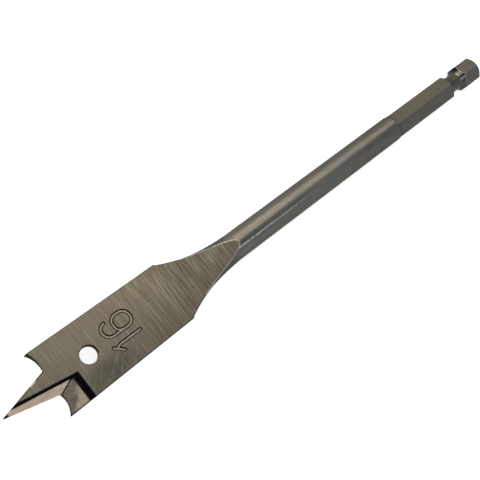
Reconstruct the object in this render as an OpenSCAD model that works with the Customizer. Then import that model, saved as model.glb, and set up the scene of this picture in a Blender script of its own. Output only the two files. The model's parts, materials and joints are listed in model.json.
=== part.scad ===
// Spade drill bit, 16 mm, forged in one piece with a hexagonal quick-change shank.
// It lies on its shaft and one edge of the blade, with the tip towards -X and the floor at Z = 0.
// The tool frame used below has the tip at the origin, the shank along +X and the blade in the XY plane.

/* [Overall] */
// Length from the tip of the centre point to the end of the shank
overall_l = 152; // [140:1:170]
// Cutting diameter, across the two spurs
bit_d = 16; // [15:0.5:20]

/* [Blade] */
// Thickness of the blade
blade_t = 2; // [1.7:0.1:2.4]
// Width of the blade at the shoulder, less than the cutting diameter so that the sides run clear
shoulder_w = 15; // [13:0.1:15]
// Distance from the tip to the shoulder
shoulder_x = 44.8; // [40:0.2:50]
// Diameter of the hanging hole
hole_d = 4; // [3:0.1:4.5]
// Distance from the tip to the middle of the hanging hole
hole_x = 21.6; // [20.5:0.1:30]

/* [Point and lips] */
// Distance from the tip to the bottom of the hollow cutting lips
lip_x = 12.2; // [11:0.1:13.5]
// Width of the centre point at its root
point_w = 6.1; // [5:0.1:7]
// Distance of the bottom of each lip from the axis
lip_y = 3.9; // [3.5:0.1:4.4]
// Height of the spurs above the bottom of the lips
spur_h = 1.65; // [1:0.05:2.2]
// Clearance angle behind the lips
lip_relief = 4.5; // [3:0.5:12]
// Clearance angle behind the spurs
spur_relief = 22; // [10:0.5:26]
// Clearance angle behind the edges of the centre point
point_relief = 7; // [3:0.5:12]
// Angle of the two small facets that bring the centre point to its tip
tip_facet = 24; // [15:1:40]

/* [Rake recess] */
// Distance from the tip to the end wall of the recess
recess_x = 17.6; // [16:0.1:18.5]
// Distance of the inner corner of the recess from the axis
recess_y = 1.5; // [1:0.1:2.5]
// Depth of the recess under the face of the blade, at its end wall
recess_depth = 0.75; // [0.4:0.05:0.9]
// Radius of the hollow end wall
recess_r = 1.5; // [1:0.1:2.5]
// Angle between the side wall of the recess and the axis
recess_turn = 9.5; // [7:0.5:12]
// Slope of the side wall of the recess
recess_slope = 50; // [45:1:70]
// Depth of the recess at its side wall
point_rake_depth = 0.65; // [0.3:0.05:0.8]
// Rake angle of the edges of the centre point
point_rake = 12.5; // [5:0.5:16]

/* [Neck and shaft] */
// Diameter of the round shaft
shaft_d = 6.8; // [6.6:0.05:6.9]
// Length of the neck between the shoulder and the round shaft
neck_l = 19.5; // [17:0.1:24]
// Radius of the rear part of the neck's outline
neck_rear_r = 60; // [50:1:80]
// Length of the rear part of the neck's outline
neck_rear_l = 11; // [9:0.1:12]
// Distance from the tip to the start of the ground run-out that leads the flat faces up onto the shaft
runout_x = 38.6; // [36:0.2:44]
// Radius of the run-out
runout_r = 134; // [110:1:150]

/* [Shank] */
// Size of the hexagon across its flats
hex_af = 6.3; // [6.2:0.05:6.4]
// Diameter across the rounded corners of the hexagon
hex_corner_d = 7.26; // [7.16:0.02:7.3]
// Length of the hexagon, from the end of the shank to the shaft
hex_l = 32; // [28:0.5:40]
// Turn of the hexagon from a corner standing square on the blade
hex_turn = 5; // [0:0.5:8]
// Length of the cone between the shaft and the hexagon
step_l = 1.6; // [1:0.1:3]
// Distance from the end of the shank to the middle of the locking groove
groove_x = 8.9; // [8:0.1:12]
// Diameter at the bottom of the locking groove
groove_d = 4.5; // [4.3:0.05:5]
// Radius of the locking groove
groove_r = 4.2; // [3:0.1:5]
// Length of the chamfer at the end of the shank
end_chamfer = 0.9; // [0.4:0.1:1.6]

/* [Hidden] */
$fn = 96;

// Stock beyond a face that a cut runs past
past = 5;
// Step from the side of the blade down to the neck, at the shoulder
shoulder_step = 0.1;
// Depth by which the neck's rear arc would pass under the shaft
arc_sink = 0.02;
// Depth by which the cone behind the shaft ends under the flats of the hexagon
cone_sink = 0.1;
// Angle of the edge between the neck's two arcs
arc_edge = 2;
// Length by which the neck's front arc overlaps the rear one
arc_overlap = 1.5;

half_w = bit_d / 2;
half_t = blade_t / 2;
shaft_r = shaft_d / 2;
shoulder_y = shoulder_w / 2;
neck_rear_x = shoulder_x + neck_l;
hex_x = overall_l - hex_l;

// Each lip is an arc through its spur, with its bottom at lip_x
lip_reach = half_w - lip_y;
lip_r = (lip_reach * lip_reach + spur_h * spur_h) / (2 * spur_h);
lip_centre_x = lip_x - lip_r;
spur_x = lip_x - spur_h;
point_half_angle = atan2(point_w / 2, lip_x);

// Hollow end wall of the recess: an arc from the face of the blade down to the recess depth
wall_centre_x = recess_x - sqrt(recess_r * recess_r - pow(recess_r - recess_depth, 2));
wall_centre_z = half_t - recess_depth + recess_r;
recess_reach = half_w + past;

// The neck's outline is two arcs: the rear one runs onto the shaft, the front one up to the shoulder.
// Each arc meets its neighbour at a slight edge, never quite tangent.
blend_x = neck_rear_x - neck_rear_l;
rear_centre = [neck_rear_x, shaft_r - arc_sink + neck_rear_r];
blend_y = rear_centre.y - sqrt(neck_rear_r * neck_rear_r - neck_rear_l * neck_rear_l);
blend_angle = asin(neck_rear_l / neck_rear_r) + arc_edge;
blend_normal = [sin(blend_angle), cos(blend_angle)];
to_shoulder = [shoulder_x - blend_x, shoulder_y - shoulder_step - blend_y];
neck_front_r = (to_shoulder * to_shoulder) / (2 * (to_shoulder * blend_normal));
front_centre = [blend_x, blend_y] + neck_front_r * blend_normal;

// The bit lies on the shaft and the back edge of the blade. It can't roll off that edge, as a corner of the
// hexagon is then the lowest part; if it is so already, the bit lies on that corner.
edge_r = norm([half_w, half_t]);
edge_angle = atan2(half_t, half_w);
shaft_roll = asin(shaft_r / edge_r) - edge_angle;
rest_h = max(shaft_r, hex_corner_d / 2 * cos(shaft_roll + hex_turn));
lie_roll = asin(rest_h / edge_r) - edge_angle;

// Lays a flat profile, drawn as [along the axis, height], out as a bar across the blade
module across(width) {
    rotate([90, 0, 0]) linear_extrude(height = width, center = true) children();
}

// Turns a profile, drawn as [along the axis, radius], about the axis
module turned() {
    rotate([0, 90, 0]) rotate_extrude() mirror([1, -1]) children();
}

// Repeats a cut on the other face and the other half of the blade
module both_edges() {
    children();
    rotate([180, 0, 0]) children();
}

// Outline of the blade with its back taper, running a little way into the neck
module blade_outline() {
    into_neck = neck_l / 6;
    polygon([
        [0, half_w], [spur_x, half_w], [shoulder_x, shoulder_y], [shoulder_x + into_neck, shaft_r],
        [shoulder_x + into_neck, -shaft_r], [shoulder_x, -shoulder_y], [spur_x, -half_w], [0, -half_w]
    ]);
}

// Radius of the neck and the shaft along the axis
module shaft_profile() {
    cone_r = hex_af / 2 - cone_sink;
    difference() {
        translate([shoulder_x, 0]) square([blend_x + arc_overlap - shoulder_x, shoulder_w]);
        translate(front_centre) circle(r = neck_front_r, $fn = 360);
    }
    difference() {
        translate([blend_x - arc_overlap, 0]) square([neck_rear_l + arc_overlap, shoulder_w]);
        translate(rear_centre) circle(r = neck_rear_r, $fn = 360);
    }
    polygon([
        [shoulder_x, 0], [shoulder_x, shaft_r], [hex_x - step_l, shaft_r], [hex_x, cone_r], [hex_x, 0]
    ]);
}

// Thickness of the bit along the axis: the flat faces run out in an arc onto the round shaft
module thickness_profile() {
    difference() {
        translate([-past, -shoulder_y]) square([overall_l, shoulder_w]);
        for (side = [0, 1]) mirror([0, side]) {
            translate([-2 * past, half_t]) square([runout_x + 2 * past, shoulder_w]);
            intersection() {
                translate([runout_x, half_t + runout_r]) circle(r = runout_r, $fn = 720);
                translate([runout_x, 0]) square([runout_r, shoulder_w]);
            }
        }
    }
}

// Forged blade, neck and shaft: a flat blank and a turned form, with both faces ground
module ground_body() {
    intersection() {
        union() {
            linear_extrude(height = 2 * blade_t, center = true) blade_outline();
            turned() shaft_profile();
        }
        across(bit_d + past) thickness_profile();
    }
}

// Hexagonal shank with rounded corners, a locking groove and a chamfered end
module hex_shank() {
    corner_r = hex_corner_d / 2;
    difference() {
        intersection() {
            translate([hex_x - step_l, 0, 0]) rotate([hex_turn, 0, 0]) rotate([0, 90, 0])
                cylinder(d = hex_af / cos(30), h = hex_l + step_l, $fn = 6);
            turned() polygon([
                [hex_x - step_l, 0], [hex_x - step_l, shaft_r - cone_sink], [hex_x, corner_r],
                [overall_l - end_chamfer, corner_r], [overall_l, corner_r - end_chamfer], [overall_l, 0]
            ]);
        }
        turned() translate([overall_l - groove_x, groove_d / 2 + groove_r]) circle(r = groove_r);
    }
}

// Stock in front of one lip and beside the centre point, with its clearance ground in
module lip_cut() {
    tall = blade_t + 2 * past;
    intersection() {
        rotate([0, 0, -point_half_angle]) rotate([point_relief, 0, 0])
            translate([-past, -bit_d, -tall / 2]) cube([overall_l, bit_d, tall]);
        union() {
            translate([-past, -bit_d, -tall / 2]) cube([lip_centre_x + past, bit_d, tall]);
            translate([lip_centre_x, -lip_y, half_t]) rotate([-spur_relief, -lip_relief, 0])
                cylinder(r = lip_r, h = 2 * tall, center = true);
        }
    }
}

// Side of the recess away from the axis, drawn as [outwards, height] and run along the side wall
module recess_side(floor_points) {
    wall_run = 1 / tan(recess_slope);
    translate([recess_x, -recess_y, half_t]) rotate([90, 0, 90 - recess_turn])
        linear_extrude(height = 2 * recess_x, center = true) mirror([1, 0])
            polygon(concat([[-past * wall_run, past]], floor_points, [[recess_reach, past]]));
}

// Rake recess in front of one lip: a sloping floor up to a hollow end wall, and the point's own rake
module recess_cut() {
    wall_run = 1 / tan(recess_slope);
    floor_rise = (recess_reach - point_rake_depth * wall_run) * tan(point_rake);
    intersection() {
        recess_side([[blade_t * wall_run, -blade_t], [recess_reach, -blade_t]]);
        translate([0, -half_w, 0]) across(bit_d + past) union() {
            polygon([
                [spur_x, half_t], [wall_centre_x, half_t - recess_depth], [wall_centre_x, half_t + past],
                [spur_x, half_t + past]
            ]);
            translate([wall_centre_x, wall_centre_z]) circle(r = recess_r);
        }
    }
    intersection() {
        recess_side([
            [point_rake_depth * wall_run, -point_rake_depth], [recess_reach, floor_rise - point_rake_depth]
        ]);
        translate([-past, -bit_d, -half_t]) cube([wall_centre_x + past, 2 * bit_d, blade_t + past]);
    }
}

// Small facet that thins the centre point to its tip
module tip_cut() {
    rotate([0, -tip_facet, 0]) translate([-past, -past, 0]) cube([2 * past, 2 * past, past]);
}

// The whole bit in the tool frame
module bit_in_tool_frame() {
    difference() {
        union() {
            ground_body();
            hex_shank();
        }
        both_edges() {
            lip_cut();
            recess_cut();
            tip_cut();
        }
        translate([hole_x, 0, 0]) cylinder(d = hole_d, h = blade_t + 2 * past, center = true);
    }
}

module spade_bit() {
    color([0.47, 0.45, 0.4])
        translate([-overall_l / 2, 0, rest_h]) rotate([lie_roll, 0, 0]) bit_in_tool_frame();
}

spade_bit();
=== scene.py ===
"""Looks of the spade drill bit: ground blade, stamped size mark, oxidised shaft and hexagonal shank."""
import json
import math

import bmesh
import bpy
from mathutils import Matrix, Vector


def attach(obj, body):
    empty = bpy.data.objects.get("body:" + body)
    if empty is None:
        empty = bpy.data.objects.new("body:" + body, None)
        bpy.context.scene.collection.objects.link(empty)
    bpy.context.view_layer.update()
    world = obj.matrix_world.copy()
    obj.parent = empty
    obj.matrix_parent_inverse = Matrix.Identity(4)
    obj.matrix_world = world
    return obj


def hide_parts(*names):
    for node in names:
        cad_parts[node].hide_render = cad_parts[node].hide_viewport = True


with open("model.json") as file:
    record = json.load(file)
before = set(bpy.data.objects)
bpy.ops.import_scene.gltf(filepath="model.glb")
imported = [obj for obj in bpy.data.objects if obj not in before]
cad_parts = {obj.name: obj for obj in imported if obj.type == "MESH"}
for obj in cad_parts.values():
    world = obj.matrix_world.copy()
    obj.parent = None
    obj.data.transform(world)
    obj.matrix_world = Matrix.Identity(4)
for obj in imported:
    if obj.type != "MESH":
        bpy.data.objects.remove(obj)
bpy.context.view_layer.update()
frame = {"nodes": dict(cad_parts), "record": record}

MM = 0.001

# The mounts give the bit's length and how it lies: the roll of the blade and the height of the axis
mounts = {mount["name"]: mount for mount in frame["record"]["mounts"]}
shank_mount = mounts["hex_shank"]
hole_mount = mounts["hanging_hole"]
HALF_LENGTH = shank_mount["pos_m"][0] / MM
LIE_ROLL = math.atan2(-hole_mount["axis"][1], hole_mount["axis"][2])
AXIS_HEIGHT = hole_mount["pos_m"][2] / MM

# Tool frame in mm, tip at the origin, shank along +X, blade in the XY plane, to the world in metres
TOOL_PLACE = (-HALF_LENGTH * MM, 0.0, AXIS_HEIGHT * MM)
TOOL_TO_WORLD = (
    Matrix.Translation(TOOL_PLACE)
    @ Matrix.Rotation(LIE_ROLL, 4, "X")
    @ Matrix.Scale(MM, 4)
)
WORLD_TO_TOOL = TOOL_TO_WORLD.inverted()
WORLD_TO_TOOL_TURN = Matrix.Rotation(-LIE_ROLL, 3, "X")

# Places along the tool, in mm from the tip, that the finishes follow
TIP_END_X = 2.2
RELIEF_START_X = 8.5
LIP_X = 12.4
RELIEF_END_X = 12.8
WALL_X = 16.3
RECESS_END_X = 17.7
HOLE_X = HALF_LENGTH + hole_mount["pos_m"][0] / MM
RUNOUT_X = 38.6
NECK_START_X = 50.0
NECK_END_X = 62.0
HEX_X = 2.0 * HALF_LENGTH - shank_mount["dims"]["length_mm"]
STEP_START_X = HEX_X - 2.2
HEX_START_X = HEX_X - 0.2
GROOVE_START_X = 139.0
GROOVE_X = 143.1
HEAD_X = 148.0

# Other sizes of the tool, in mm
HALF_THICK = 1.0
HOLE_R = hole_mount["dims"]["r_mm"]
HOLE_REACH = HOLE_R + 0.1
POINT_HALF_WIDTH = 3.3
GROOVE_TOP_R = 3.0
# Across the shaft, the y of its painted reflection line
SHAFT_LINE_Y = -1.17

# A face counts as parallel to an axis when its unit normal has less than this along it
PARALLEL = 0.03

# Depth of the fine relief that a finish has as bump, in metres
GRINDING_DEPTH = 0.02 * MM
OXIDE_DEPTH = 0.03 * MM

# Clean-up of the CAD mesh, and the angle at which two faces make a real corner
WELD_DISTANCE = 0.002 * MM
FLAT_ANGLE = math.radians(0.6)
CORNER_ANGLE = math.radians(38)

# Widths of the strips along the edges, in mm, and the smallest flat of the hexagon that gets one, in mm2
LIP_STRIP_WIDTH = 0.25
BLADE_STRIP_WIDTH = 0.17
HEAD_STRIP_WIDTH = 0.18
RIDGE_STRIP_WIDTH = 0.4
LEAST_FLAT = 3.0

# The rim is painted pale, as lit, beyond this y; the hole's lip keeps its painted shade only beyond this
# share of its radius in this direction
PALE_RIM_Y = 3.0
DARK_LIP_SIDE = Vector((0.6, 0.8))
DARK_LIP_FROM = 0.2

# Size mark, in mm: half widths at the mouth and floor of its groove, depths, and the rise of a cutter
MARK_HALF_TOP = 0.44
MARK_HALF_FLOOR = 0.16
MARK_DEEP = 0.22
MARK_SHALLOW = 0.20
MARK_RISE = 0.15

# A face of the mark is its floor above this z of its unit normal, and a wall painted paler, as lit, above
# this y; the other walls are painted dark as shade
MARK_FLOOR_UP = 0.9
MARK_LIT_SIDE = 0.15

# Strokes of the size mark in the tool frame, in mm: digits read towards +Y with their tops towards the tip
BOWL = [
    (29.5, 1.8), (29.7, 2.85), (30.5, 3.55), (31.6, 3.66), (32.65, 3.48), (33.48, 2.75),
    (33.72, 1.7), (33.48, 0.7), (32.65, 0.06), (31.6, -0.05), (30.5, 0.1), (29.7, 0.75),
]
HOOK = [
    (28.05, 3.5), (27.2, 3.2), (26.6, 2.5), (26.55, 1.5),
    (27.0, 0.6), (27.9, 0.08), (29.2, 0.0), (30.9, 0.02),
]
STEM = [(27.45, -2.62), (27.75, -2.36), (28.25, -2.2), (33.6, -2.2)]
FLAG = [(26.5, -2.1), (27.4, -2.78), (28.35, -3.82)]

# Camera: place and nearest distance in metres, lens and sensor in mm
CAMERA_PLACE = (-0.085042, -0.0640628, 0.1637452)
CAMERA_LENS = 60.4145
CAMERA_SENSOR = 36.0
CAMERA_NEAREST = 0.005
VIEW_AZIMUTH = math.radians(40.80305)
VIEW_DOWN = math.radians(58.40327)
CAMERA_ROLL = math.radians(7.83868)

# Studio: half width of the floor in metres, its grey and its own light, and the tint of the surroundings
FLOOR_HALF = 3.0
FLOOR_GREY = (0.42, 0.42, 0.42)
FLOOR_LIFT = 0.80
WHITE = (1.0, 1.0, 1.0)
SKY = (0.985, 0.993, 1.0)


def colour(value):
    """RGBA of a plain RGB colour; a socket stays as it is."""
    if isinstance(value, tuple) and len(value) == 3:
        return (*value, 1.0)
    return value


class Nodes:
    """A material in the making: adds nodes to its tree and links them."""

    def __init__(self, name):
        self.material = bpy.data.materials.new(name)
        self.material.use_nodes = True
        self.tree = self.material.node_tree
        self.tree.nodes.clear()
        self.output = self.tree.nodes.new("ShaderNodeOutputMaterial")

    def add(self, kind, inputs=None, **settings):
        """New node with these settings; an input takes a value or another node's socket."""
        node = self.tree.nodes.new(kind)
        for key, value in settings.items():
            setattr(node, key, value)
        for key, value in (inputs or {}).items():
            self.feed(node.inputs[key], value)
        return node

    def feed(self, socket, value):
        if isinstance(value, bpy.types.NodeSocket):
            self.tree.links.new(value, socket)
        else:
            socket.default_value = value

    def math(self, operation, a, b=0.0):
        return self.add("ShaderNodeMath", {0: a, 1: b}, operation=operation).outputs[0]

    def plus(self, a, b):
        return self.math("ADD", a, b)

    def minus(self, a, b):
        return self.math("SUBTRACT", a, b)

    def times(self, a, b):
        return self.math("MULTIPLY", a, b)

    def size(self, a):
        return self.math("ABSOLUTE", a)

    def ragged(self, value, noise, amount):
        """A value that noise moves up and down, so that a border drawn along it is ragged."""
        return self.plus(value, self.times(self.minus(noise, 0.5), amount))

    def ramp(self, level, low, high, to_low=0.0, to_high=1.0):
        """Runs from one value to another while the level goes from low to high, and stays there beyond."""
        node = self.add(
            "ShaderNodeMapRange",
            {"Value": level, "From Min": low, "From Max": high, "To Min": to_low, "To Max": to_high},
            clamp=True,
        )
        return node.outputs["Result"]

    def mix(self, factor, a, b):
        node = self.add("ShaderNodeMix", data_type="RGBA")
        self.feed(node.inputs["Factor"], factor)
        self.feed(node.inputs["A"], colour(a))
        self.feed(node.inputs["B"], colour(b))
        return node.outputs["Result"]

    def stain(self, base, tint, level, low, high, amount=1.0):
        """Base colour that a tint covers, up to the amount, while the level goes from low to high."""
        return self.mix(self.ramp(level, low, high, 0.0, amount), base, tint)

    def tool_point(self):
        """Position on the bit in the tool frame, in mm."""
        place = self.add("ShaderNodeTexCoord").outputs["Object"]
        moved = self.add(
            "ShaderNodeMapping",
            {
                "Vector": place,
                "Location": TOOL_PLACE,
                "Rotation": (LIE_ROLL, 0.0, 0.0),
                "Scale": (MM, MM, MM),
            },
            vector_type="TEXTURE",
        )
        return moved.outputs[0]

    def split(self, point):
        """The x, y and z of a point."""
        parts = self.add("ShaderNodeSeparateXYZ", {"Vector": point}).outputs
        return parts[0], parts[1], parts[2]

    def side(self, y, z):
        """The y of a place, or of its match on the upper half for a place on the lower half."""
        return self.times(y, self.math("SIGN", z))

    def noise(self, point, grains, turn=0.0, detail=3.0, roughness=0.55):
        """Noise with so many grains to the mm along each axis, turned about Z first."""
        turned = self.add("ShaderNodeMapping", {"Vector": point, "Rotation": (0.0, 0.0, turn)})
        sized = self.add("ShaderNodeMapping", {"Vector": turned.outputs[0], "Scale": grains})
        node = self.add(
            "ShaderNodeTexNoise",
            {"Vector": sized.outputs[0], "Scale": 1.0, "Detail": detail, "Roughness": roughness},
        )
        return node.outputs["Fac"]

    def bump(self, height, strength, depth=GRINDING_DEPTH):
        node = self.add("ShaderNodeBump", {"Height": height, "Strength": strength, "Distance": depth})
        return node.outputs["Normal"]

    def steel(self, base, roughness, normal=None, metallic=1.0, specular=0.5, edge_tint=1.0):
        """The finished material; a low edge tint keeps faces seen at a flat angle from turning white."""
        shader = self.add("ShaderNodeBsdfPrincipled", {"Base Color": base, "Roughness": roughness})
        shader.inputs["Metallic"].default_value = metallic
        shader.inputs["Specular IOR Level"].default_value = specular
        shader.inputs["Specular Tint"].default_value = (edge_tint, edge_tint, edge_tint, 1.0)
        if normal is not None:
            self.feed(shader.inputs["Normal"], normal)
        self.feed(self.output.inputs["Surface"], shader.outputs[0])
        return self.material


def ground_gloss(n, lines):
    """Roughness of ground steel, which is duller where its lines are dark."""
    return n.ramp(lines, 0.3, 0.7, 0.46, 0.38)


def grinding_lines(n, point, busy):
    """Colour of the fine lines across the axis, and the pattern that they follow."""
    dark = (0.106, 0.092, 0.069)
    pale = (0.177, 0.157, 0.119)
    middle = (0.144, 0.127, 0.096)
    fine = n.noise(point, (4.2, 0.11, 0.5), detail=2.0, roughness=0.6)
    coarse = n.noise(point, (1.1, 0.06, 0.3), turn=0.03)
    fine_share = 0.85
    lines = n.plus(n.times(fine, fine_share), n.times(coarse, 1.0 - fine_share))
    return n.mix(busy, middle, n.stain(dark, pale, lines, 0.36, 0.64)), lines


def blade_tints(n, base, point):
    """Soft olive and reddish clouds."""
    olive = (0.130, 0.121, 0.080)
    reddish = (0.132, 0.111, 0.096)
    cloud = n.noise(point, (0.24, 0.20, 0.4))
    blotch = n.noise(point, (0.10, 0.16, 0.3), detail=2.0)
    base = n.stain(base, olive, cloud, 0.45, 0.68, 0.6)
    return n.stain(base, reddish, blotch, 0.48, 0.66, 0.5)


def scratches(n, base, point, x, busy):
    """Single scratches that are paler or darker than the lines, and scores that grow towards the neck."""
    pale_scratch = (0.295, 0.272, 0.223)
    dark_scratch = (0.077, 0.066, 0.050)
    dark_score = (0.074, 0.064, 0.047)
    pale_score = (0.240, 0.219, 0.171)
    scratch = n.noise(point, (6.6, 0.16, 0.5), turn=0.035, detail=1.0)
    base = n.mix(n.times(busy, n.ramp(scratch, 0.60, 0.68, 0.0, 0.75)), base, pale_scratch)
    base = n.mix(n.times(busy, n.ramp(scratch, 0.39, 0.31, 0.0, 0.7)), base, dark_scratch)
    score = n.noise(point, (5.6, 0.13, 0.5), turn=0.01, detail=1.0)
    neck = n.ramp(x, 34.0, 50.0, 0.1, 1.0)
    base = n.mix(n.times(neck, n.ramp(score, 0.55, 0.67)), base, dark_score)
    return n.mix(n.times(neck, n.ramp(score, 0.43, 0.32)), base, pale_score)


def smudge(n, base, point, x, y):
    """Dark streaky oval between the hanging hole and the lower edge."""
    oily = (0.046, 0.050, 0.041)
    centre_x = 23.5
    centre_y = -6.4
    half_length = 7.5
    half_width = 4.2
    away_x = n.math("DIVIDE", n.minus(x, centre_x), half_length)
    away_y = n.math("DIVIDE", n.minus(y, centre_y), half_width)
    away = n.plus(n.math("POWER", away_x, 2.0), n.math("POWER", away_y, 2.0))
    streaks = n.noise(point, (0.30, 1.5, 0.5), turn=-0.75)
    cover = n.times(n.ramp(away, 1.2, 0.1), n.ramp(streaks, 0.35, 0.65, 0.25, 1.0))
    return n.mix(n.times(cover, 0.9), base, oily)


def blade_shades(n, base, x, y):
    """Darker towards the lower edge, most of all behind the mark, and yellower on the neck."""
    brown = (0.054, 0.046, 0.038)
    deep_brown = (0.055, 0.046, 0.032)
    yellow = (0.080, 0.071, 0.038)
    base = n.stain(base, brown, y, 5.0, -6.0, 0.19)
    low_side = n.times(n.ramp(x, 26.0, 36.0), n.ramp(y, 2.0, -7.0))
    base = n.mix(n.times(low_side, 0.38), base, deep_brown)
    return n.stain(base, yellow, x, 34.0, 46.0, 0.17)


def ground_blade():
    """Flat faces of the blade and neck: tints, a smudge, and grinding lines that are busier at the neck."""
    n = Nodes("ground_blade")
    point = n.tool_point()
    x, y, _ = n.split(point)
    busy = n.ramp(x, 28.0, 44.0, 0.45, 1.0)
    base, lines = grinding_lines(n, point, busy)
    base = blade_tints(n, base, point)
    base = scratches(n, base, point, x, busy)
    base = smudge(n, base, point, x, y)
    base = blade_shades(n, base, x, y)
    return n.steel(base, ground_gloss(n, lines), n.bump(lines, n.times(busy, 0.3)))


def lip_foot(n, base, x, y, cloud, speckle):
    """Pale corner of the lip's rake, between the recess wall and the side of the blade."""
    pale = (0.270, 0.228, 0.178)
    along = 0.78
    across = 0.625
    outwards = n.plus(n.times(x, along), n.times(n.size(y), across))
    foot = n.times(n.ramp(n.ragged(outwards, cloud, 1.6), 14.4, 15.3), n.ramp(x, 20.0, 17.0))
    foot = n.times(foot, n.ramp(speckle, 0.66, 0.44, 0.45, 1.0))
    return n.mix(n.times(foot, 0.9), base, pale)


def point_tip(n, base, x, cloud):
    """Pink towards the tip of the centre point, and black at its very end."""
    pink = (0.272, 0.199, 0.150)
    black = (0.005, 0.004, 0.004)
    base = n.stain(base, pink, x, 7.5, 2.5, 0.55)
    return n.stain(base, black, n.ragged(x, cloud, 1.4), 1.9, 1.2)


def fresh_rake(name, dark, pale, cast):
    """Facets ground later than the faces: lighter and warmer, with fine lines of their own."""
    n = Nodes(name)
    point = n.tool_point()
    x, y, _ = n.split(point)
    lines = n.noise(point, (0.8, 5.0, 1.0), turn=0.3)
    cloud = n.noise(point, (0.45, 0.45, 0.45), detail=2.0)
    speckle = n.noise(point, (2.6, 3.4, 2.6), detail=2.0)
    base = n.stain(dark, pale, lines, 0.35, 0.65)
    base = n.stain(base, cast, cloud, 0.42, 0.66, 0.8)
    base = n.stain(base, dark, speckle, 0.50, 0.66, 0.7)
    base = lip_foot(n, base, x, y, cloud, speckle)
    base = point_tip(n, base, x, cloud)
    return n.steel(base, ground_gloss(n, lines), n.bump(lines, 0.25))


def dark_wall(name, deep, pale, metallic=0.0):
    """Walls and hollows painted almost black, as painted shade, with some bare metal."""
    n = Nodes(name)
    cloud = n.noise(n.tool_point(), (1.2, 1.2, 1.2), detail=4.0)
    base = n.stain(deep, pale, cloud, 0.35, 0.75)
    rough = n.ramp(cloud, 0.3, 0.7, 0.7, 0.5)
    return n.steel(base, rough, n.bump(cloud, 0.2), metallic, specular=0.05, edge_tint=0.25)


def edge_steel(name, dark, pale, edge_tint=0.25):
    """Side edges of the blade and other narrow ground strips."""
    n = Nodes(name)
    point = n.tool_point()
    lines = n.noise(point, (0.3, 2.0, 6.0))
    cloud = n.noise(point, (0.5, 0.5, 0.5))
    base = n.stain(dark, pale, lines, 0.35, 0.65)
    base = n.stain(base, dark, cloud, 0.5, 0.75, 0.5)
    rough = n.ramp(cloud, 0.3, 0.7, 0.36, 0.5)
    return n.steel(base, rough, n.bump(lines, 0.25), edge_tint=edge_tint)


def point_line():
    """Edge of the centre point: dark, with a painted highlight along a stretch of it."""
    dark = (0.036, 0.034, 0.032)
    bright = (0.554, 0.545, 0.518)
    n = Nodes("point_line")
    point = n.tool_point()
    x, _, _ = n.split(point)
    along = n.plus(x, n.times(n.noise(point, (1.5, 1.5, 1.5)), 0.8))
    # Painted highlight: the bright colour on the stretch where the edge catches the light
    painted_glint = n.times(n.ramp(along, 8.3, 8.8), n.ramp(along, 10.4, 9.9))
    return n.steel(n.mix(painted_glint, dark, bright), roughness=0.42, edge_tint=0.5)


def shaft_oxide(n, point, x, grain):
    """Mottled brown, blue and purple oxide, warmer at the neck and darker and greener at the shank."""
    dark = (0.071, 0.071, 0.063)
    pale = (0.096, 0.094, 0.083)
    warm = (0.123, 0.114, 0.100)
    brown = (0.108, 0.096, 0.080)
    teal = (0.062, 0.071, 0.070)
    sooty = (0.054, 0.052, 0.048)
    violet = (0.068, 0.064, 0.072)
    olive = (0.046, 0.048, 0.033)
    purple = (0.092, 0.079, 0.075)
    blue = (0.066, 0.078, 0.083)
    drawn = n.noise(point, (0.06, 1.6, 1.6))
    heat = n.noise(point, (0.10, 0.25, 0.25), detail=2.0)
    mottle = n.noise(point, (0.38, 0.9, 0.9))
    spots = n.noise(point, (0.16, 0.55, 0.55))
    base = n.stain(dark, pale, drawn, 0.35, 0.65)
    base = n.stain(base, warm, x, 84.0, 64.0, 0.35)
    base = n.stain(base, brown, mottle, 0.50, 0.66, 0.55)
    base = n.stain(base, teal, mottle, 0.45, 0.33, 0.55)
    base = n.stain(base, sooty, grain, 0.45, 0.8, 0.3)
    rear_heat = n.times(n.ramp(x, 84.0, 112.0), n.ramp(heat, 0.42, 0.68, 0.0, 0.45))
    base = n.mix(rear_heat, base, violet)
    base = n.stain(base, olive, x, 88.0, 112.0, 0.36)
    base = n.stain(base, purple, spots, 0.53, 0.63, 0.45)
    return n.stain(base, blue, spots, 0.47, 0.37, 0.5)


def shaft_line(n, base, point, x, side, grain):
    """Painted reflection: a bright broken line that runs on from the ground tongue, with a painted dark
    band beside it.
    """
    dark = (0.040, 0.046, 0.036)
    bright = (0.322, 0.334, 0.320)
    band = n.times(n.ramp(side, -1.2, -0.8), n.ramp(side, 0.35, -0.35))
    base = n.mix(n.times(band, n.ramp(x, 92.0, 66.0, 0.0, 0.55)), base, dark)
    away = n.ragged(n.size(n.minus(side, SHAFT_LINE_Y)), grain, 0.25)
    gaps = n.noise(point, (1.3, 0.4, 0.4), detail=2.0)
    line = n.times(n.ramp(away, 0.24, 0.06), n.ramp(x, 90.0, 62.0))
    return n.mix(n.times(line, n.ramp(gaps, 0.36, 0.58, 0.35, 1.0)), base, bright)


def shaft_steel():
    """Round shaft: oxidised and mottled, with the painted reflection line."""
    n = Nodes("shaft_steel")
    point = n.tool_point()
    x, y, z = n.split(point)
    grain = n.noise(point, (1.2, 2.0, 2.0), detail=4.0, roughness=0.6)
    base = shaft_oxide(n, point, x, grain)
    base = shaft_line(n, base, point, x, n.side(y, z), grain)
    rough = n.ramp(grain, 0.3, 0.75, 0.28, 0.38)
    return n.steel(base, rough, n.bump(grain, 0.18), edge_tint=0.55)


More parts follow.
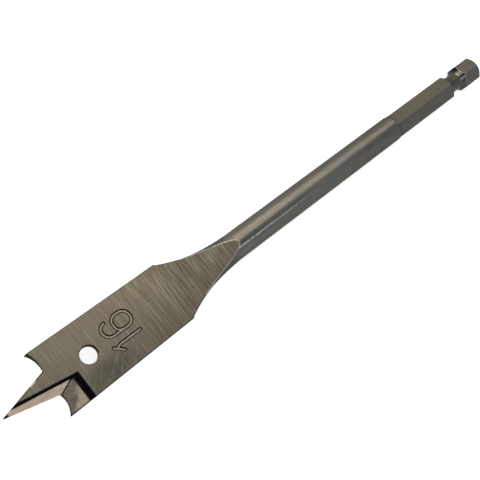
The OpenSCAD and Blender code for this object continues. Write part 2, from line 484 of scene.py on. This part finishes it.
def hex_steel(name, dark, pale, cast):
    """Hexagonal shank: olive, brown or purple oxide in soft patches, greyer on the side towards -Y."""
    grey = (0.084, 0.084, 0.082)
    n = Nodes(name)
    point = n.tool_point()
    _, y, z = n.split(point)
    grain = n.noise(point, (0.9, 1.4, 1.4), detail=4.0, roughness=0.6)
    patch = n.noise(point, (0.16, 0.35, 0.35), detail=2.0)
    base = n.stain(dark, pale, grain, 0.35, 0.7)
    base = n.stain(base, cast, patch, 0.45, 0.65, 0.6)
    base = n.stain(base, grey, n.side(y, z), 0.1, -0.7, 0.45)
    rough = n.ramp(grain, 0.3, 0.7, 0.48, 0.58)
    return n.steel(base, rough, n.bump(grain, 0.08, OXIDE_DEPTH), edge_tint=0.9)


def groove_flank():
    """Flank of the locking groove below the head: painted shadow, black towards the head, and two painted
    highlights.
    """
    dark = (0.046, 0.046, 0.042)
    grey = (0.068, 0.068, 0.062)
    black = (0.006, 0.005, 0.004)
    warm = (0.210, 0.197, 0.150)
    cool = (0.146, 0.164, 0.152)
    n = Nodes("groove_flank")
    point = n.tool_point()
    x, y, _ = n.split(point)
    grain = n.noise(point, (1.4, 1.8, 1.8))
    base = n.stain(dark, grey, grain, 0.35, 0.7)
    # Painted shadow: black towards the head
    shade = n.times(n.ramp(x, 144.5, 145.5, 0.0, 0.9), n.ramp(y, -2.0, -1.0))
    base = n.mix(shade, base, black)
    # Painted highlights: a warm and a cool bright spot
    base = n.stain(base, warm, n.size(n.minus(y, 0.85)), 0.95, 0.25)
    base = n.stain(base, cool, n.size(n.plus(y, 0.75)), 0.55, 0.15)
    rough = n.ramp(grain, 0.3, 0.7, 0.34, 0.44)
    return n.steel(base, rough, n.bump(grain, 0.08, OXIDE_DEPTH), edge_tint=0.6)


def make_finishes():
    """Every finish under the name that faces are sorted by, in the order of the mesh's material slots."""
    # Painted shade: near-black colours for the recess walls, the hole's bore and its lip
    shade_black = (0.001, 0.001, 0.001)
    shade_dark = (0.004, 0.004, 0.003)
    return {
        "blade": ground_blade(),
        "point_rake": fresh_rake(
            "point_rake",
            dark=(0.152, 0.133, 0.109),
            pale=(0.238, 0.212, 0.176),
            cast=(0.204, 0.185, 0.157),
        ),
        "lip_rake": fresh_rake(
            "lip_rake",
            dark=(0.072, 0.064, 0.055),
            pale=(0.112, 0.098, 0.083),
            cast=(0.128, 0.111, 0.092),
        ),
        "wall": dark_wall("recess_wall", shade_black, shade_dark),
        "bore": dark_wall("hole_bore", shade_black, shade_dark),
        "hole_lip": dark_wall("hole_lip", shade_black, shade_dark),
        # Painted shade: the lip's relief faces, turned from the light, are painted near black
        "relief": dark_wall("lip_relief", (0.004, 0.004, 0.004), (0.027, 0.025, 0.023)),
        # Painted reflection: the point's narrow flanks are painted pale, as if they reflect the white floor
        "flank": edge_steel("point_flank", (0.268, 0.259, 0.232), (0.554, 0.545, 0.518)),
        "point_line": point_line(),
        "edge": edge_steel("blade_edge", (0.036, 0.034, 0.034), (0.080, 0.077, 0.075)),
        # Blade rim: partly the edge's own dark oxide, partly painted shade; pale_rim on the next line is
        # its painted lit copy
        "rim": dark_wall("edge_rim", (0.014, 0.013, 0.014), (0.045, 0.041, 0.043), metallic=0.3),
        "pale_rim": edge_steel("pale_rim", (0.071, 0.070, 0.073), (0.125, 0.122, 0.122)),
        # Painted highlight: the pale strip where the ground tongue meets the neck and shaft
        "bright": edge_steel("bright_edge", (0.205, 0.188, 0.159), (0.322, 0.295, 0.250)),
        "neck_side": edge_steel("neck_side", (0.063, 0.062, 0.058), (0.088, 0.086, 0.080), edge_tint=0.5),
        "shaft": shaft_steel(),
        "step": edge_steel("shaft_step", (0.045, 0.044, 0.041), (0.094, 0.091, 0.084)),
        "hex": hex_steel(
            "hex_steel",
            dark=(0.055, 0.054, 0.043),
            pale=(0.077, 0.074, 0.058),
            cast=(0.077, 0.070, 0.045),
        ),
        "groove": hex_steel(
            "groove_steel",
            dark=(0.036, 0.034, 0.028),
            pale=(0.059, 0.056, 0.045),
            cast=(0.066, 0.063, 0.049),
        ),
        "groove_flank": groove_flank(),
        "head": hex_steel(
            "head_steel",
            dark=(0.068, 0.059, 0.056),
            pale=(0.084, 0.075, 0.071),
            cast=(0.066, 0.062, 0.055),
        ),
        "head_line": edge_steel("head_line", (0.152, 0.130, 0.113), (0.214, 0.184, 0.161)),
        # Painted shade on the mark's walls, and painted light on the walls that look to +Y
        "mark_wall": dark_wall("mark_wall", (0.002, 0.001, 0.001), (0.018, 0.013, 0.009)),
        "mark_lit": edge_steel("mark_lit", (0.028, 0.023, 0.018), (0.070, 0.060, 0.048)),
        "mark_floor": fresh_rake(
            "mark_floor",
            dark=(0.190, 0.170, 0.139),
            pale=(0.279, 0.253, 0.208),
            cast=(0.229, 0.205, 0.168),
        ),
    }


FINISHES = make_finishes()
FINISH_NAMES = list(FINISHES)
SLOT = {name: number for number, name in enumerate(FINISH_NAMES)}

# Finish of the border strip on the lip's rake, the blade and the head, by the finish beyond the border
LIP_STRIP_FINISH = {"point_rake": "wall", "relief": "rim", "edge": "rim", "wall": "rim"}
# Blade strips: the bright ones beside the neck and shaft, and the point line's glint, are painted
# highlights; the dark ones are painted shade
BLADE_STRIP_FINISH = {
    "edge": "rim",
    "wall": "rim",
    "bore": "hole_lip",
    "flank": "point_line",
    "neck_side": "bright",
    "shaft": "bright",
}
HEAD_STRIP_FINISH = {"groove": "head_line", "groove_flank": "head_line"}


def add_finishes(mesh):
    for material in FINISHES.values():
        mesh.materials.append(material)


def shank_kind(centre, normal):
    """Finish of a face of the shank, its groove, its head or the step in front of it; none elsewhere."""
    hollow = abs(normal.x) > PARALLEL or math.hypot(centre.y, centre.z) < GROOVE_TOP_R
    steep = normal.x < -0.35
    if GROOVE_START_X < centre.x < HEAD_X and hollow:
        return "groove_flank" if steep else "groove"
    if centre.x > GROOVE_X:
        return "head"
    if centre.x > HEX_START_X:
        return "hex"
    tapered = abs(normal.x) > 0.1
    if centre.x > STEP_START_X and tapered:
        return "step"
    return None


def shaft_kind(centre, normal):
    """Finish of a face of the neck or the round shaft; the ground flats slope up from the blade."""
    ground = abs(normal.y) < PARALLEL and abs(normal.z) > 0.9 and normal.x < -0.003
    if ground:
        return "blade"
    upright = abs(normal.z) < 0.75
    if centre.x < NECK_END_X and upright:
        return "edge" if centre.x < NECK_START_X else "neck_side"
    return "shaft"


def blade_kind(centre, normal):
    """Finish of a face of the blade and its tip; the two recesses match by a half turn about the axis."""
    flat = abs(normal.z) > 0.999
    if flat and abs(abs(centre.z) - HALF_THICK) < 0.02:
        return "blade"
    if math.hypot(centre.x - HOLE_X, centre.y) < HOLE_REACH:
        return "bore"
    chisel = abs(normal.y) < 0.2 and normal.x < -0.25
    if chisel and centre.x < TIP_END_X:
        return "wall"
    sideways = abs(normal.y) > 0.9
    if sideways and abs(centre.y) < POINT_HALF_WIDTH and centre.x < LIP_X:
        return "flank"
    forward = normal.x < -0.4
    if forward and RELIEF_START_X < centre.x < RELIEF_END_X:
        return "relief"
    half_turn = -1.0 if centre.y > 0.0 else 1.0
    up = half_turn * normal.z
    across = half_turn * normal.y
    if up > 0.2 and centre.x < RECESS_END_X:
        if centre.x > WALL_X or across < -0.3:
            return "wall"
        return "point_rake" if across > 0.1 else "lip_rake"
    return "edge"


def face_kind(centre, normal):
    """Which finish a face takes, from its place and direction in the tool frame."""
    if centre.x > RUNOUT_X:
        return shank_kind(centre, normal) or shaft_kind(centre, normal)
    return blade_kind(centre, normal)


def edge_strip(mesh, name, width, strip_of):
    """Narrow strip inside the border of the faces of one finish; its own finish follows the neighbour's."""
    slot = SLOT[name]
    faces = [face for face in mesh.faces if face.material_index == slot]
    strip = bmesh.ops.inset_region(
        mesh, faces=faces, thickness=width * MM, depth=0.0, use_boundary=True, use_even_offset=True
    )["faces"]
    inside = set(strip)
    for face in strip:
        neighbours = [other for edge in face.edges for other in edge.link_faces if other not in inside]
        for other in neighbours:
            own = strip_of.get(FINISH_NAMES[other.material_index])
            if other.material_index != slot and own:
                face.material_index = SLOT[own]


def vary_strips(mesh):
    """Painted light and shade on the strips: makes the blade's rim pale, as lit, on its +Y side, and leaves
    the hole's dark lip, a painted shade, on one side only.
    """
    for face in mesh.faces:
        name = FINISH_NAMES[face.material_index]
        place = WORLD_TO_TOOL @ face.calc_center_median()
        side = math.copysign(1.0, place.z) * place.y
        if name == "rim" and side > PALE_RIM_Y:
            face.material_index = SLOT["pale_rim"]
        from_hole = Vector((place.x - HOLE_X, side))
        if name == "hole_lip" and from_hole.dot(DARK_LIP_SIDE) < DARK_LIP_FROM * HOLE_R:
            face.material_index = SLOT["blade"]


def soften_ridges(mesh):
    """Border strips on the flats of the hexagon, over which the smooth shading rounds its ridges."""
    flats = []
    for face in mesh.faces:
        on_shank = FINISH_NAMES[face.material_index] in ("hex", "head")
        lengthwise = abs(face.normal.x) < PARALLEL
        if on_shank and lengthwise and face.calc_area() > LEAST_FLAT * MM * MM:
            flats.append(face)
    bmesh.ops.inset_individual(
        mesh, faces=flats, thickness=RIDGE_STRIP_WIDTH * MM, depth=0.0, use_even_offset=True
    )


def break_edges(mesh):
    """Narrow strips along the edges: dark ones as painted shade, on the rim partly the edge's own dark
    oxide, and bright ones as painted highlights.
    """
    bm = bmesh.new()
    bm.from_mesh(mesh)
    edge_strip(bm, "lip_rake", LIP_STRIP_WIDTH, LIP_STRIP_FINISH)
    edge_strip(bm, "blade", BLADE_STRIP_WIDTH, BLADE_STRIP_FINISH)
    vary_strips(bm)
    edge_strip(bm, "head", HEAD_STRIP_WIDTH, HEAD_STRIP_FINISH)
    soften_ridges(bm)
    bm.to_mesh(mesh)
    bm.free()


def paint_faces(mesh):
    """Sorts the faces of the CAD mesh by finish and breaks its edges."""
    add_finishes(mesh)
    for polygon in mesh.polygons:
        kind = face_kind(WORLD_TO_TOOL @ polygon.center, WORLD_TO_TOOL_TURN @ polygon.normal)
        polygon.material_index = SLOT[kind]
    break_edges(mesh)


def smooth_path(corners, closed, steps=8):
    """Points of a Catmull-Rom curve through the corners."""
    count = len(corners)
    path = []
    spans = count if closed else count - 1
    for i in range(spans):
        p0 = corners[i - 1] if closed or i > 0 else corners[i] * 2 - corners[i + 1]
        p1 = corners[i]
        p2 = corners[(i + 1) % count]
        far = (i + 2) % count if closed else i + 2
        p3 = corners[far] if closed or far < count else p2 * 2 - p1
        for k in range(steps):
            t = k / steps
            linear = (p2 - p0) * t
            square = (2 * p0 - 5 * p1 + 4 * p2 - p3) * t * t
            cubic = (3 * p1 - p0 - 3 * p2 + p3) * t ** 3
            path.append(0.5 * (2 * p1 + linear + square + cubic))
    if not closed:
        path.append(corners[-1])
    return path


def stroke_sides(points, half_width, closed):
    """The two sides of a stroke along a path."""
    count = len(points)
    left, right = [], []
    for i, here in enumerate(points):
        before = points[i - 1] if closed or i > 0 else here
        after = points[(i + 1) % count] if closed or i < count - 1 else here
        along = (after - before).normalized()
        side = Vector((-along.y, along.x))
        left.append(here + side * half_width)
        right.append(here - side * half_width)
    return left, right


def round_end(end, along, half_width, steps=8):
    """Half circle from the left to the right of the end of a stroke."""
    start_angle = math.atan2(along.y, along.x) + math.pi / 2
    arc = []
    for k in range(1, steps):
        angle = start_angle - math.pi * k / steps
        arc.append(end + Vector((math.cos(angle), math.sin(angle))) * half_width)
    return arc


def stroke_loops(points, half_width, closed):
    """Outline of a stroke: one loop with round ends, or the two sides of a closed path."""
    left, right = stroke_sides(points, half_width, closed)
    if closed:
        return [left, right]
    far_end = round_end(points[-1], points[-1] - points[-2], half_width)
    near_end = round_end(points[0], points[0] - points[1], half_width)
    return [left + far_end + right[::-1] + near_end]


def groove_cutter(name, corners, depth, closed=False, straight=False):
    """Closed cutter of tapered section that stands on the upper face of the blade and follows a path."""
    corners = [Vector(corner) for corner in corners]
    points = corners if straight else smooth_path(corners, closed)
    slope = (MARK_HALF_TOP - MARK_HALF_FLOOR) / depth
    half_high = MARK_HALF_TOP + slope * MARK_RISE
    bm = bmesh.new()

    def rings(half_width, z):
        loops = stroke_loops(points, half_width, closed)
        return [[bm.verts.new(TOOL_TO_WORLD @ Vector((p.x, p.y, z))) for p in loop] for loop in loops]

    def band(a, b):
        for i in range(len(a)):
            j = (i + 1) % len(a)
            bm.faces.new((a[i], a[j], b[j], b[i]))

    high = rings(half_high, HALF_THICK + MARK_RISE)
    low = rings(MARK_HALF_FLOOR, HALF_THICK - depth)
    band(high[0], low[0])
    if closed:
        band(low[1], high[1])
        band(high[1], high[0])
        band(low[0], low[1])
    else:
        bm.faces.new(reversed(high[0]))
        bm.faces.new(low[0])
    bmesh.ops.recalc_face_normals(bm, faces=bm.faces)
    mesh = bpy.data.meshes.new(name)
    bm.to_mesh(mesh)
    bm.free()
    add_finishes(mesh)
    for polygon in mesh.polygons:
        polygon.material_index = SLOT["mark_wall"]
    cutter = bpy.data.objects.new(name, mesh)
    bpy.context.collection.objects.link(cutter)
    return cutter


def apply_modifiers(obj):
    """Replaces an object's mesh by its evaluated one."""
    graph = bpy.context.evaluated_depsgraph_get()
    mesh = bpy.data.meshes.new_from_object(obj.evaluated_get(graph))
    obj.modifiers.clear()
    old = obj.data
    obj.data = mesh
    bpy.data.meshes.remove(old)


def stamp_mark(bit):
    """Cuts the size mark into the blade; its floor is bare, walls that look to +Y are painted paler as lit,
    and the other walls are painted dark as shade.
    """
    cutters = [
        groove_cutter("cut_bowl", BOWL, MARK_DEEP, closed=True),
        groove_cutter("cut_hook", HOOK, MARK_SHALLOW),
        groove_cutter("cut_stem", STEM, MARK_DEEP, straight=True),
        groove_cutter("cut_flag", FLAG, MARK_SHALLOW, straight=True),
    ]
    for cutter in cutters:
        cut = bit.modifiers.new(cutter.name, "BOOLEAN")
        cut.operation = "DIFFERENCE"
        cut.solver = "EXACT"
        cut.object = cutter
        apply_modifiers(bit)
        bpy.data.objects.remove(cutter)
    for polygon in bit.data.polygons:
        if polygon.material_index == SLOT["mark_wall"]:
            normal = WORLD_TO_TOOL_TURN @ polygon.normal
            if normal.z > MARK_FLOOR_UP:
                polygon.material_index = SLOT["mark_floor"]
            elif normal.y > MARK_LIT_SIDE:
                polygon.material_index = SLOT["mark_lit"]


def joined_copy(name, source):
    """Copy of a CAD mesh with its seams joined and its flat triangles merged into whole faces."""
    mesh = source.data.copy()
    mesh.name = name
    bm = bmesh.new()
    bm.from_mesh(mesh)
    bmesh.ops.remove_doubles(bm, verts=bm.verts, dist=WELD_DISTANCE)
    bmesh.ops.dissolve_limit(
        bm, angle_limit=FLAT_ANGLE, use_dissolve_boundaries=False, verts=bm.verts, edges=bm.edges
    )
    bmesh.ops.recalc_face_normals(bm, faces=bm.faces)
    bm.to_mesh(mesh)
    bm.free()
    mesh.materials.clear()
    return mesh


def sharpen(mesh):
    """Keeps the flat faces flat: sharp edges at the size mark and at every real corner."""
    marks = {SLOT[name] for name in ("mark_wall", "mark_lit", "mark_floor")}
    bm = bmesh.new()
    bm.from_mesh(mesh)
    for face in bm.faces:
        face.smooth = True
    for edge in bm.edges:
        slots = {face.material_index for face in edge.link_faces}
        corner = len(edge.link_faces) == 2 and edge.calc_face_angle(0.0) > CORNER_ANGLE
        mark_border = len(slots) > 1 and slots & marks
        edge.smooth = not (corner or mark_border)
    bm.to_mesh(mesh)
    bm.free()


def make_bit():
    """The whole bit, one piece of steel."""
    node = frame["nodes"]["spade_bit"]
    bit = bpy.data.objects.new("steel_bit", joined_copy("steel_bit", node))
    bpy.context.collection.objects.link(bit)
    paint_faces(bit.data)
    stamp_mark(bit)
    sharpen(bit.data)
    even = bit.modifiers.new("flat_faces", "WEIGHTED_NORMAL")
    even.mode = "FACE_AREA"
    even.weight = 100
    even.keep_sharp = True
    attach(bit, "root")
    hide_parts("spade_bit")


def floor_white():
    """Pale grey that shows white to the camera and in reflections, and keeps the shadow."""
    n = Nodes("floor_white")
    matt = n.add("ShaderNodeBsdfDiffuse", {"Color": colour(FLOOR_GREY)})
    lift = n.add("ShaderNodeEmission", {"Color": colour(WHITE), "Strength": FLOOR_LIFT})
    both = n.add("ShaderNodeAddShader", {0: matt.outputs[0], 1: lift.outputs[0]})
    path = n.add("ShaderNodeLightPath")
    seen = n.math("MAXIMUM", path.outputs["Is Camera Ray"], path.outputs["Is Glossy Ray"])
    seen = n.math("MAXIMUM", seen, path.outputs["Is Transmission Ray"])
    shown = n.add("ShaderNodeMixShader", {0: seen, 1: matt.outputs[0], 2: both.outputs[0]})
    n.feed(n.output.inputs["Surface"], shown.outputs[0])
    return n.material


def make_floor():
    """Wide floor that the bit lies on; it belongs to the stage, not to the part."""
    bm = bmesh.new()
    bmesh.ops.create_grid(bm, x_segments=1, y_segments=1, size=FLOOR_HALF)
    mesh = bpy.data.meshes.new("floor")
    bm.to_mesh(mesh)
    bm.free()
    floor = bpy.data.objects.new("floor", mesh)
    bpy.context.collection.objects.link(floor)
    mesh.materials.append(floor_white())


def add_softbox(name, direction, distance, size, power, tint):
    """Square area lamp in that direction from the middle of the bit, facing it; metres and watts."""
    data = bpy.data.lights.new(name, "AREA")
    data.shape = "SQUARE"
    data.size = size
    data.energy = power
    data.color = tint
    lamp = bpy.data.objects.new(name, data)
    away = Vector(direction).normalized()
    lamp.location = away * distance
    lamp.rotation_euler = away.to_track_quat("Z", "Y").to_euler()
    bpy.context.collection.objects.link(lamp)


def make_light():
    """White surroundings, a warm key lamp from above, and two weak lamps at the sides."""
    world = bpy.data.worlds.new("studio")
    bpy.context.scene.world = world
    world.use_nodes = True
    shade = world.node_tree.nodes["Background"]
    shade.inputs["Color"].default_value = colour(SKY)
    shade.inputs["Strength"].default_value = 1.0
    add_softbox("key", (0.40, 0.30, 0.86), distance=0.80, size=0.60, power=3.55, tint=(1.0, 0.87, 0.73))
    add_softbox("fill", (0.40, -0.82, 0.40), distance=0.60, size=0.50, power=0.26, tint=(0.88, 0.96, 1.0))
    add_softbox("side", (0.40, 0.82, 0.40), distance=0.60, size=0.50, power=0.56, tint=(1.0, 0.90, 0.78))


def make_camera():
    """Camera that sees the bit from above its tip, a little rolled."""
    data = bpy.data.cameras.new("camera")
    data.lens = CAMERA_LENS
    data.sensor_width = CAMERA_SENSOR
    data.sensor_fit = "HORIZONTAL"
    data.clip_start = CAMERA_NEAREST
    camera = bpy.data.objects.new("camera", data)
    level = math.cos(VIEW_DOWN)
    ahead = Vector((level * math.cos(VIEW_AZIMUTH), level * math.sin(VIEW_AZIMUTH), -math.sin(VIEW_DOWN)))
    aim = ahead.to_track_quat("-Z", "Y").to_matrix()
    turn = aim @ Matrix.Rotation(CAMERA_ROLL, 3, "Z")
    camera.matrix_world = Matrix.Translation(CAMERA_PLACE) @ turn.to_4x4()
    bpy.context.collection.objects.link(camera)
    bpy.context.scene.camera = camera


make_camera()
make_bit()
make_floor()
make_light()
bpy.context.scene.view_settings.view_transform = "Standard"
